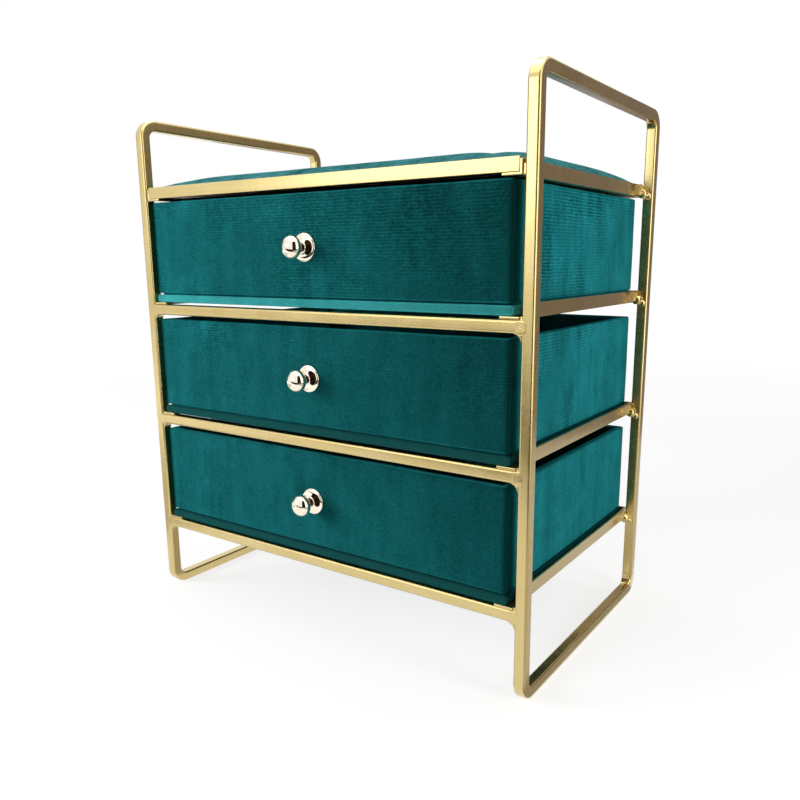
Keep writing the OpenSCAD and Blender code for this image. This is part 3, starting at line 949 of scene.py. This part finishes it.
# %% [markdown]
# A drawer is a box of board with velvet glued over it, standing on a wrapped base that shows as a
# strip under a shadow groove. The walls start as a solid box. Insetting the top and drawing it down
# makes the inside, the foot is drawn in for the groove, and the edges are rounded over as glued cloth
# rounds them. Slicing the walls into cells lets a soft noise take the hardness out of the flat faces.

# %% Drawer walls
WALL = 4.4 * MM
GROOVE_DEPTH = 2.0 * MM
CLOTH_EDGE = 1.2 * MM
CELL = 6.0 * MM
WALL_WAVE, BASE_WAVE, LINING_WAVE = 0.35 * MM, 0.25 * MM, 0.3 * MM
cloth_waves = clouds("cloth_waves", 22.0 * MM)


def slice_grid(lo, hi, step):
    for axis in range(3):
        count = max(1, round((hi[axis] - lo[axis]) / step))
        for i in range(1, count):
            slice_at(axis, lo[axis] + (hi[axis] - lo[axis]) * i / count)


def soften(obj, strength):
    add_modifier(obj, "DISPLACE", texture=cloth_waves, strength=strength, mid_level=0.5)


def drawer_walls(tier):
    lo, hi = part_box(f"{tier}_drawer_wrap")
    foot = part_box(f"{tier}_base_wrap")[1].z
    obj = new_box(f"{tier}_velvet_walls", lo, hi)
    start_edit(obj)
    pick(obj, "FACE", lambda c, n: n.z > 0.9)
    bpy.ops.mesh.inset(thickness=WALL)
    extrude((0, 0, lo.z - hi.z))
    pick(obj, "FACE", lambda c, n: abs(n.z) > 0.9 and abs(c.z - lo.z) < CLOSE)
    bpy.ops.mesh.delete(type="ONLY_FACE")
    pick(obj, "EDGE", lambda a, b: max(abs(a.z - lo.z), abs(b.z - lo.z)) < CLOSE)
    bpy.ops.mesh.bridge_edge_loops()
    pick(obj, "FACE", lambda c, n: abs(n.z) > 0.9 and abs(c.z - lo.z) < CLOSE)
    bpy.ops.mesh.inset(thickness=GROOVE_DEPTH)
    extrude((0, 0, foot - lo.z))

    def inside(p):
        return abs(p.x) < hi.x - 0.9 * WALL and lo.y + 0.9 * WALL < p.y < hi.y - 0.9 * WALL

    def corner(a, b):
        return abs(a.z - b.z) > 5 * MM

    def rim(a, b):
        return min(a.z, b.z) > hi.z - CLOSE and inside(a) == inside(b)

    def outside(p):
        return abs(p.x) > hi.x - CLOSE or p.y < lo.y + CLOSE or p.y > hi.y - CLOSE

    def turned_under(a, b):
        return abs(a.z - lo.z) + abs(b.z - lo.z) < CLOSE and outside(a) and outside(b)

    pick(obj, "EDGE", lambda a, b: corner(a, b) or rim(a, b) or turned_under(a, b))
    bpy.ops.mesh.bevel(offset=CLOTH_EDGE, segments=4, affect="EDGES")
    slice_grid(lo, hi, CELL)
    bpy.ops.mesh.select_all(action="SELECT")
    bpy.ops.mesh.normals_make_consistent(inside=False)
    end_edit()
    soften(obj, WALL_WAVE)
    smooth(obj)
    paint_on(obj, drawer_velvet)
    return obj


first_drawer = {"walls": drawer_walls("lower")}
print("walls:", len(first_drawer["walls"].data.polygons), "faces")

# %% [markdown]
# The base under the walls is a board wrapped in the same velvet, and the lining is a padded card on the
# drawer's floor. Both are flat boxes with their edges rolled over. The bases get painted light: the upper
# one, which catches the light, has a lit copy of the velvet, and the lower ones, which stand in the shade,
# have a shaded copy. A drawer is then copied up for each tier, and each copy rides on its own body.

# %% Drawer bases, linings and copies
def drawer_base(tier):
    lo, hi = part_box(f"{tier}_base_wrap")
    obj = new_box(f"{tier}_velvet_base", lo, hi)
    start_edit(obj)
    bpy.ops.mesh.select_all(action="SELECT")
    bpy.ops.mesh.bevel(offset=CLOTH_EDGE, segments=4, affect="EDGES")
    slice_grid((lo.x, lo.y, lo.z), (hi.x, hi.y, lo.z + CELL), 1.5 * CELL)
    end_edit()
    soften(obj, BASE_WAVE)
    smooth(obj)
    paint_on(obj, shaded_velvet)
    return obj


def drawer_lining(tier):
    lo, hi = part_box(f"{tier}_drawer_lining")
    obj = new_box(f"{tier}_velvet_lining", lo, hi)
    start_edit(obj)
    pick(obj, "EDGE", lambda a, b: a.z > lo.z + 1 * MM and b.z > lo.z + 1 * MM)
    bpy.ops.mesh.bevel(offset=CLOTH_EDGE, segments=3, affect="EDGES")
    slice_grid((lo.x, lo.y, lo.z), (hi.x, hi.y, lo.z + CELL), 1.5 * CELL)
    end_edit()
    soften(obj, LINING_WAVE)
    smooth(obj)
    paint_on(obj, lining_velvet)
    return obj


BOARDS = ("front", "back", "left", "right")
first_drawer["base"] = drawer_base("lower")
first_drawer["lining"] = drawer_lining("lower")
drawers = {"lower": first_drawer}
for tier in TIERS[1:]:
    drawers[tier] = {}
    for kind, obj in first_drawer.items():
        drawers[tier][kind] = copy_piece(obj, f"{tier}_velvet_{kind}", RISE[tier])
for tier, drawer in drawers.items():
    body = f"{tier}_drawer"
    settle(drawer["walls"], body, "velvet", f"{body}_wrap", *[f"{body}_{side}" for side in BOARDS])
    settle(drawer["base"], body, "velvet", f"{tier}_base_wrap", f"{body}_base")
    settle(drawer["lining"], body, "lining", f"{body}_lining")
paint_on(drawers["upper"]["base"], lit_base_velvet)
print("drawers:", len(drawers), [len(o.data.polygons) for o in first_drawer.values()])

# %% [markdown]
# A knob is turned brass, plated pale gold and polished until it mirrors the room. A mirror needs little but a
# low roughness and a faint cloud in it, as from wiping. The head's back and the neck get a second finish,
# dark and dull, which is painted shade.

# %% Knob finishes
polish = Finish("polished_gold")
polish_cloud = polish.noise(300.0, detail=2.0)
gold_share = polish.remap(polish_cloud, 0.35, 0.65)
polished_gold = polish.surface(
    base_color=polish.mix(gold_share, (0.92, 0.83, 0.67), (0.97, 0.90, 0.76)),
    metallic=1.0,
    roughness=polish.remap(polish_cloud, 0.3, 0.7, 0.02, 0.05),
)
dull = Finish("neck_shade_plate")
dull_share = dull.remap(dull.noise(700.0), 0.35, 0.65)
painted_neck_shade = dull.surface(
    base_color=dull.mix(dull_share, (0.035, 0.016, 0.010), (0.075, 0.036, 0.022)),
    metallic=1.0,
    roughness=0.3,
)
print("knob finishes:", polished_gold.name, painted_neck_shade.name)

# %% [markdown]
# The knob's shape could be spun from its outline, but a sphere has better faces on the round head. So it
# starts as a sphere, pressed a little flat along its axis. The ring of edges at its back is then drawn
# out and scaled, step by step, into the slim neck and the flat flange.

# %% Knobs
HEAD_R = 5.7 * MM
HEAD_HALF = 4.1 * MM
NECK_R = 2.2 * MM
NECK_SHADE_FROM, NECK_SHADE_TO = 1.5 * MM, 1.9 * MM
# Each step of the outline: how far it is from the drawer's front, and its radius, in mm
NECK_STEPS = ((5.6, 2.2), (3.4, 2.2), (1.95, 2.2), (1.65, 2.6))
FLANGE_STEPS = ((1.5, 4.4), (1.38, 5.5), (1.15, 6.3), (0.85, 6.85), (0.5, 7.1), (0.0, 7.1))


def knob(tier):
    lo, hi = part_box(f"{tier}_knob")
    x, z = (lo.x + hi.x) / 2, (lo.z + hi.z) / 2
    back = hi.y
    centre = Vector((x, lo.y + HEAD_HALF, z))
    bpy.ops.object.select_all(action="DESELECT")
    bpy.ops.mesh.primitive_uv_sphere_add(
        segments=48, ring_count=28, radius=HEAD_R, location=centre, rotation=UPRIGHT
    )
    obj = bpy.context.object
    obj.name = obj.data.name = f"{tier}_ball_knob"
    bpy.ops.object.transform_apply(location=True, rotation=True, scale=True)
    start_edit(obj)
    bpy.ops.mesh.select_all(action="SELECT")
    bpy.ops.transform.resize(value=(1, HEAD_HALF / HEAD_R, 1), center_override=centre)

    def off_axis(point):
        return math.hypot(point.x - x, point.z - z)

    pick(obj, "FACE", lambda c, n: c.y > centre.y and off_axis(c) < NECK_R)
    bpy.ops.mesh.delete(type="FACE")
    mesh = bmesh.from_edit_mesh(obj.data)
    bpy.ops.mesh.select_all(action="DESELECT")
    bpy.ops.mesh.select_mode(type="EDGE")
    for edge in mesh.edges:
        edge.select_set(edge.is_boundary)
    bmesh.update_edit_mesh(obj.data)
    ring = [v.co.copy() for v in mesh.verts if v.select]
    reach, radius = back - ring[0].y, off_axis(ring[0])
    for step, wide in NECK_STEPS + FLANGE_STEPS:
        extrude((0, reach - step * MM, 0))
        grow = wide * MM / radius
        bpy.ops.transform.resize(value=(grow, 1, grow), center_override=(x, back - step * MM, z))
        reach, radius = step * MM, wide * MM
    bpy.ops.mesh.edge_face_add()
    bpy.ops.mesh.select_all(action="SELECT")
    bpy.ops.mesh.normals_make_consistent(inside=False)
    end_edit()
    paint_on(obj, polished_gold)
    obj.data.materials.append(painted_neck_shade)
    start_edit(obj)
    # Painted shade on the head's back and the neck
    pick(obj, "FACE", lambda c, n: centre.y + NECK_SHADE_FROM < c.y < back - NECK_SHADE_TO)
    obj.active_material_index = 1
    bpy.ops.object.material_slot_assign()
    end_edit()
    add_modifier(obj, "SUBSURF", levels=2, render_levels=2)
    smooth(obj, 50, weighted=False)
    return obj


first_knob = knob("lower")
knobs = {tier: copy_piece(first_knob, f"{tier}_ball_knob", RISE[tier]) for tier in TIERS[1:]}
knobs["lower"] = first_knob
for tier, obj in knobs.items():
    settle(obj, f"{tier}_drawer", "knob", f"{tier}_knob")
print("knob:", len(first_knob.data.polygons), "faces", [round(v, 4) for v in first_knob.dimensions])

# %% [markdown]
# Inside the drawer a zinc-plated pan-head screw holds the knob. Its head starts as a short cylinder.
# Bevelling the far rim makes the pan, insetting and extruding the near end makes the shank, and two
# tapered bars cut the cross recess.

# %% Screws
HEAD_H = 2.4 * MM
SHANK_R = 2.0 * MM
PAN_ROUND = 0.75
SLOT_LONG, SLOT_WIDE, SLOT_DEEP = 4.6 * MM, 1.0 * MM, 1.3 * MM
SLOT_TAPER = 0.55
plate = Finish("zinc_plate")
zinc_share = plate.remap(plate.noise(900.0), 0.35, 0.65)
zinc = plate.surface(
    base_color=plate.mix(zinc_share, (0.42, 0.42, 0.43), (0.62, 0.62, 0.63)),
    metallic=1.0,
    roughness=plate.remap(plate.noise(500.0), 0.3, 0.7, 0.25, 0.45),
)


def screw(tier):
    lo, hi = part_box(f"{tier}_knob_screw")
    x, z, head_r = (lo.x + hi.x) / 2, (lo.z + hi.z) / 2, (hi.x - lo.x) / 2
    seat = hi.y - HEAD_H
    bpy.ops.object.select_all(action="DESELECT")
    middle_of_head = (x, seat + HEAD_H / 2, z)
    bpy.ops.mesh.primitive_cylinder_add(
        vertices=48, radius=head_r, depth=HEAD_H, location=middle_of_head, rotation=UPRIGHT
    )
    obj = bpy.context.object
    obj.name = obj.data.name = f"{tier}_pan_screw"
    bpy.ops.object.transform_apply(location=True, rotation=True, scale=True)
    start_edit(obj)
    pick(obj, "FACE", lambda c, n: n.y < -0.9)
    bpy.ops.mesh.inset(thickness=head_r - SHANK_R)
    extrude((0, lo.y - seat, 0))
    pick(obj, "EDGE", lambda a, b: min(a.y, b.y) > hi.y - CLOSE)
    bpy.ops.mesh.bevel(offset=PAN_ROUND * HEAD_H, segments=6, affect="EDGES")
    end_edit()
    for long_axis in (0, 2):
        half = Vector((SLOT_WIDE / 2, 0, SLOT_WIDE / 2))
        half[long_axis] = SLOT_LONG / 2
        middle = Vector((x, hi.y - SLOT_DEEP, z))
        bar = new_box("slot_cutter", middle - half, middle + half + Vector((0, 2 * SLOT_DEEP, 0)))
        start_edit(bar)
        pick(bar, "FACE", lambda c, n: n.y < -0.9)
        bpy.ops.transform.resize(value=(SLOT_TAPER, 1, SLOT_TAPER), center_override=middle)
        end_edit()
        add_modifier(obj, "BOOLEAN", operation="DIFFERENCE", object=bar, solver="EXACT")
        pick_object(bar)
        bpy.ops.object.delete()
    smooth(obj, 35)
    paint_on(obj, zinc)
    return obj


first_screw = screw("lower")
screws = {tier: copy_piece(first_screw, f"{tier}_pan_screw", RISE[tier]) for tier in TIERS[1:]}
screws["lower"] = first_screw
for tier, obj in screws.items():
    settle(obj, f"{tier}_drawer", "screw", f"{tier}_knob_screw")
print("screw:", len(first_screw.data.polygons), "faces", [round(v, 4) for v in first_screw.dimensions])

# %% [markdown]
# The board under the pad is plain fibreboard, cut to the tray. Its solid is right as it is, so it only
# gets a finish: two browns, mixed in fine specks as pressed fibres are.

# %% Top board
raw = Finish("raw_board")
fibre_share = raw.remap(raw.noise(1400.0, detail=4.0), 0.3, 0.7)
raw_board = raw.surface(
    base_color=raw.mix(fibre_share, (0.26, 0.16, 0.085), (0.42, 0.29, 0.165)),
    roughness=raw.remap(raw.noise(600.0), 0.3, 0.7, 0.75, 0.95),
)
paint_on(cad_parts["top_board"], raw_board)
print("board:", [round(v, 4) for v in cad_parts["top_board"].dimensions])

# %% [markdown]
# The top pad is velvet over a thin soft fill, glued to its board at the foot. Moving points by hand would
# do for one dent, but not for a whole stuffed form. So the crowned solid is copied, made a little smaller
# and remeshed into even cells, and Blender's cloth lets it swell. A cap on each point's way keeps the pad
# inside the tray.

# %% Top pad
PAD_CELL = 2.6 * MM
PAD_SHRINK = 0.995
PAD_FOOT = 1.2 * MM
PAD_CAP = 0.9 * MM
PAD_PRESSURE = 4.0
SWELL_STEPS = 20


def cushion_from(node, name):
    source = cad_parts[node]
    obj = source.copy()
    obj.data = source.data.copy()
    obj.name = obj.data.name = name
    obj.parent = None
    for key in [k for k in obj.keys() if k.startswith("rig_")]:
        del obj[key]
    bpy.context.scene.collection.objects.link(obj)
    start_edit(obj, "VERT")
    bpy.ops.mesh.select_all(action="SELECT")
    bpy.ops.mesh.remove_doubles(threshold=MERGE)
    end_edit()
    return obj


pad = cushion_from("top_pad", "velvet_top_pad")
pad_lo, pad_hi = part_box("top_pad")
start_edit(pad, "VERT")
bpy.ops.mesh.select_all(action="SELECT")
slimmer = 1 - PAD_CAP / (pad_hi.z - pad_lo.z)
pad_foot = (pad_lo + pad_hi) / 2
pad_foot.z = pad_lo.z
bpy.ops.transform.resize(value=(PAD_SHRINK, PAD_SHRINK, slimmer), center_override=pad_foot)
end_edit()
add_modifier(pad, "REMESH", mode="VOXEL", voxel_size=PAD_CELL)
add_modifier(pad, "SMOOTH", factor=0.5, iterations=3)
foot_points = [v.index for v in pad.data.vertices if v.co.z < pad_lo.z + PAD_FOOT]
pad.vertex_groups.new(name="glued_foot").add(foot_points, 1.0, "REPLACE")
before = [v.co.copy() for v in pad.data.vertices]
pick_object(pad)
bpy.ops.object.modifier_add(type="CLOTH")
swell = pad.modifiers[-1]
swell.settings.use_pressure = True
swell.settings.uniform_pressure_force = PAD_PRESSURE
swell.settings.effector_weights.gravity = 0.0
swell.settings.vertex_group_mass = "glued_foot"
for step in range(1, SWELL_STEPS + 1):
    bpy.context.scene.frame_set(step)
bpy.ops.object.modifier_apply(modifier=swell.name)
for vertex, place in zip(pad.data.vertices, before):
    moved = vertex.co - place
    vertex.co = place + moved * min(1.0, PAD_CAP / max(moved.length, 1e-9))
bpy.context.scene.frame_set(1)
add_modifier(pad, "SMOOTH", factor=0.5, iterations=4)
add_modifier(pad, "SUBSURF", levels=1, render_levels=1)
smooth(pad, 60, weighted=False)
paint_on(pad, pad_velvet)
settle(pad, "frame", "pad", "top_pad")
print("pad:", len(pad.data.polygons), "faces", [round(v, 4) for v in pad.dimensions])

# %% [markdown]
# The last cell sets plain colours for the picture.

# %% Plain colours
bpy.context.scene.view_settings.view_transform = "Standard"
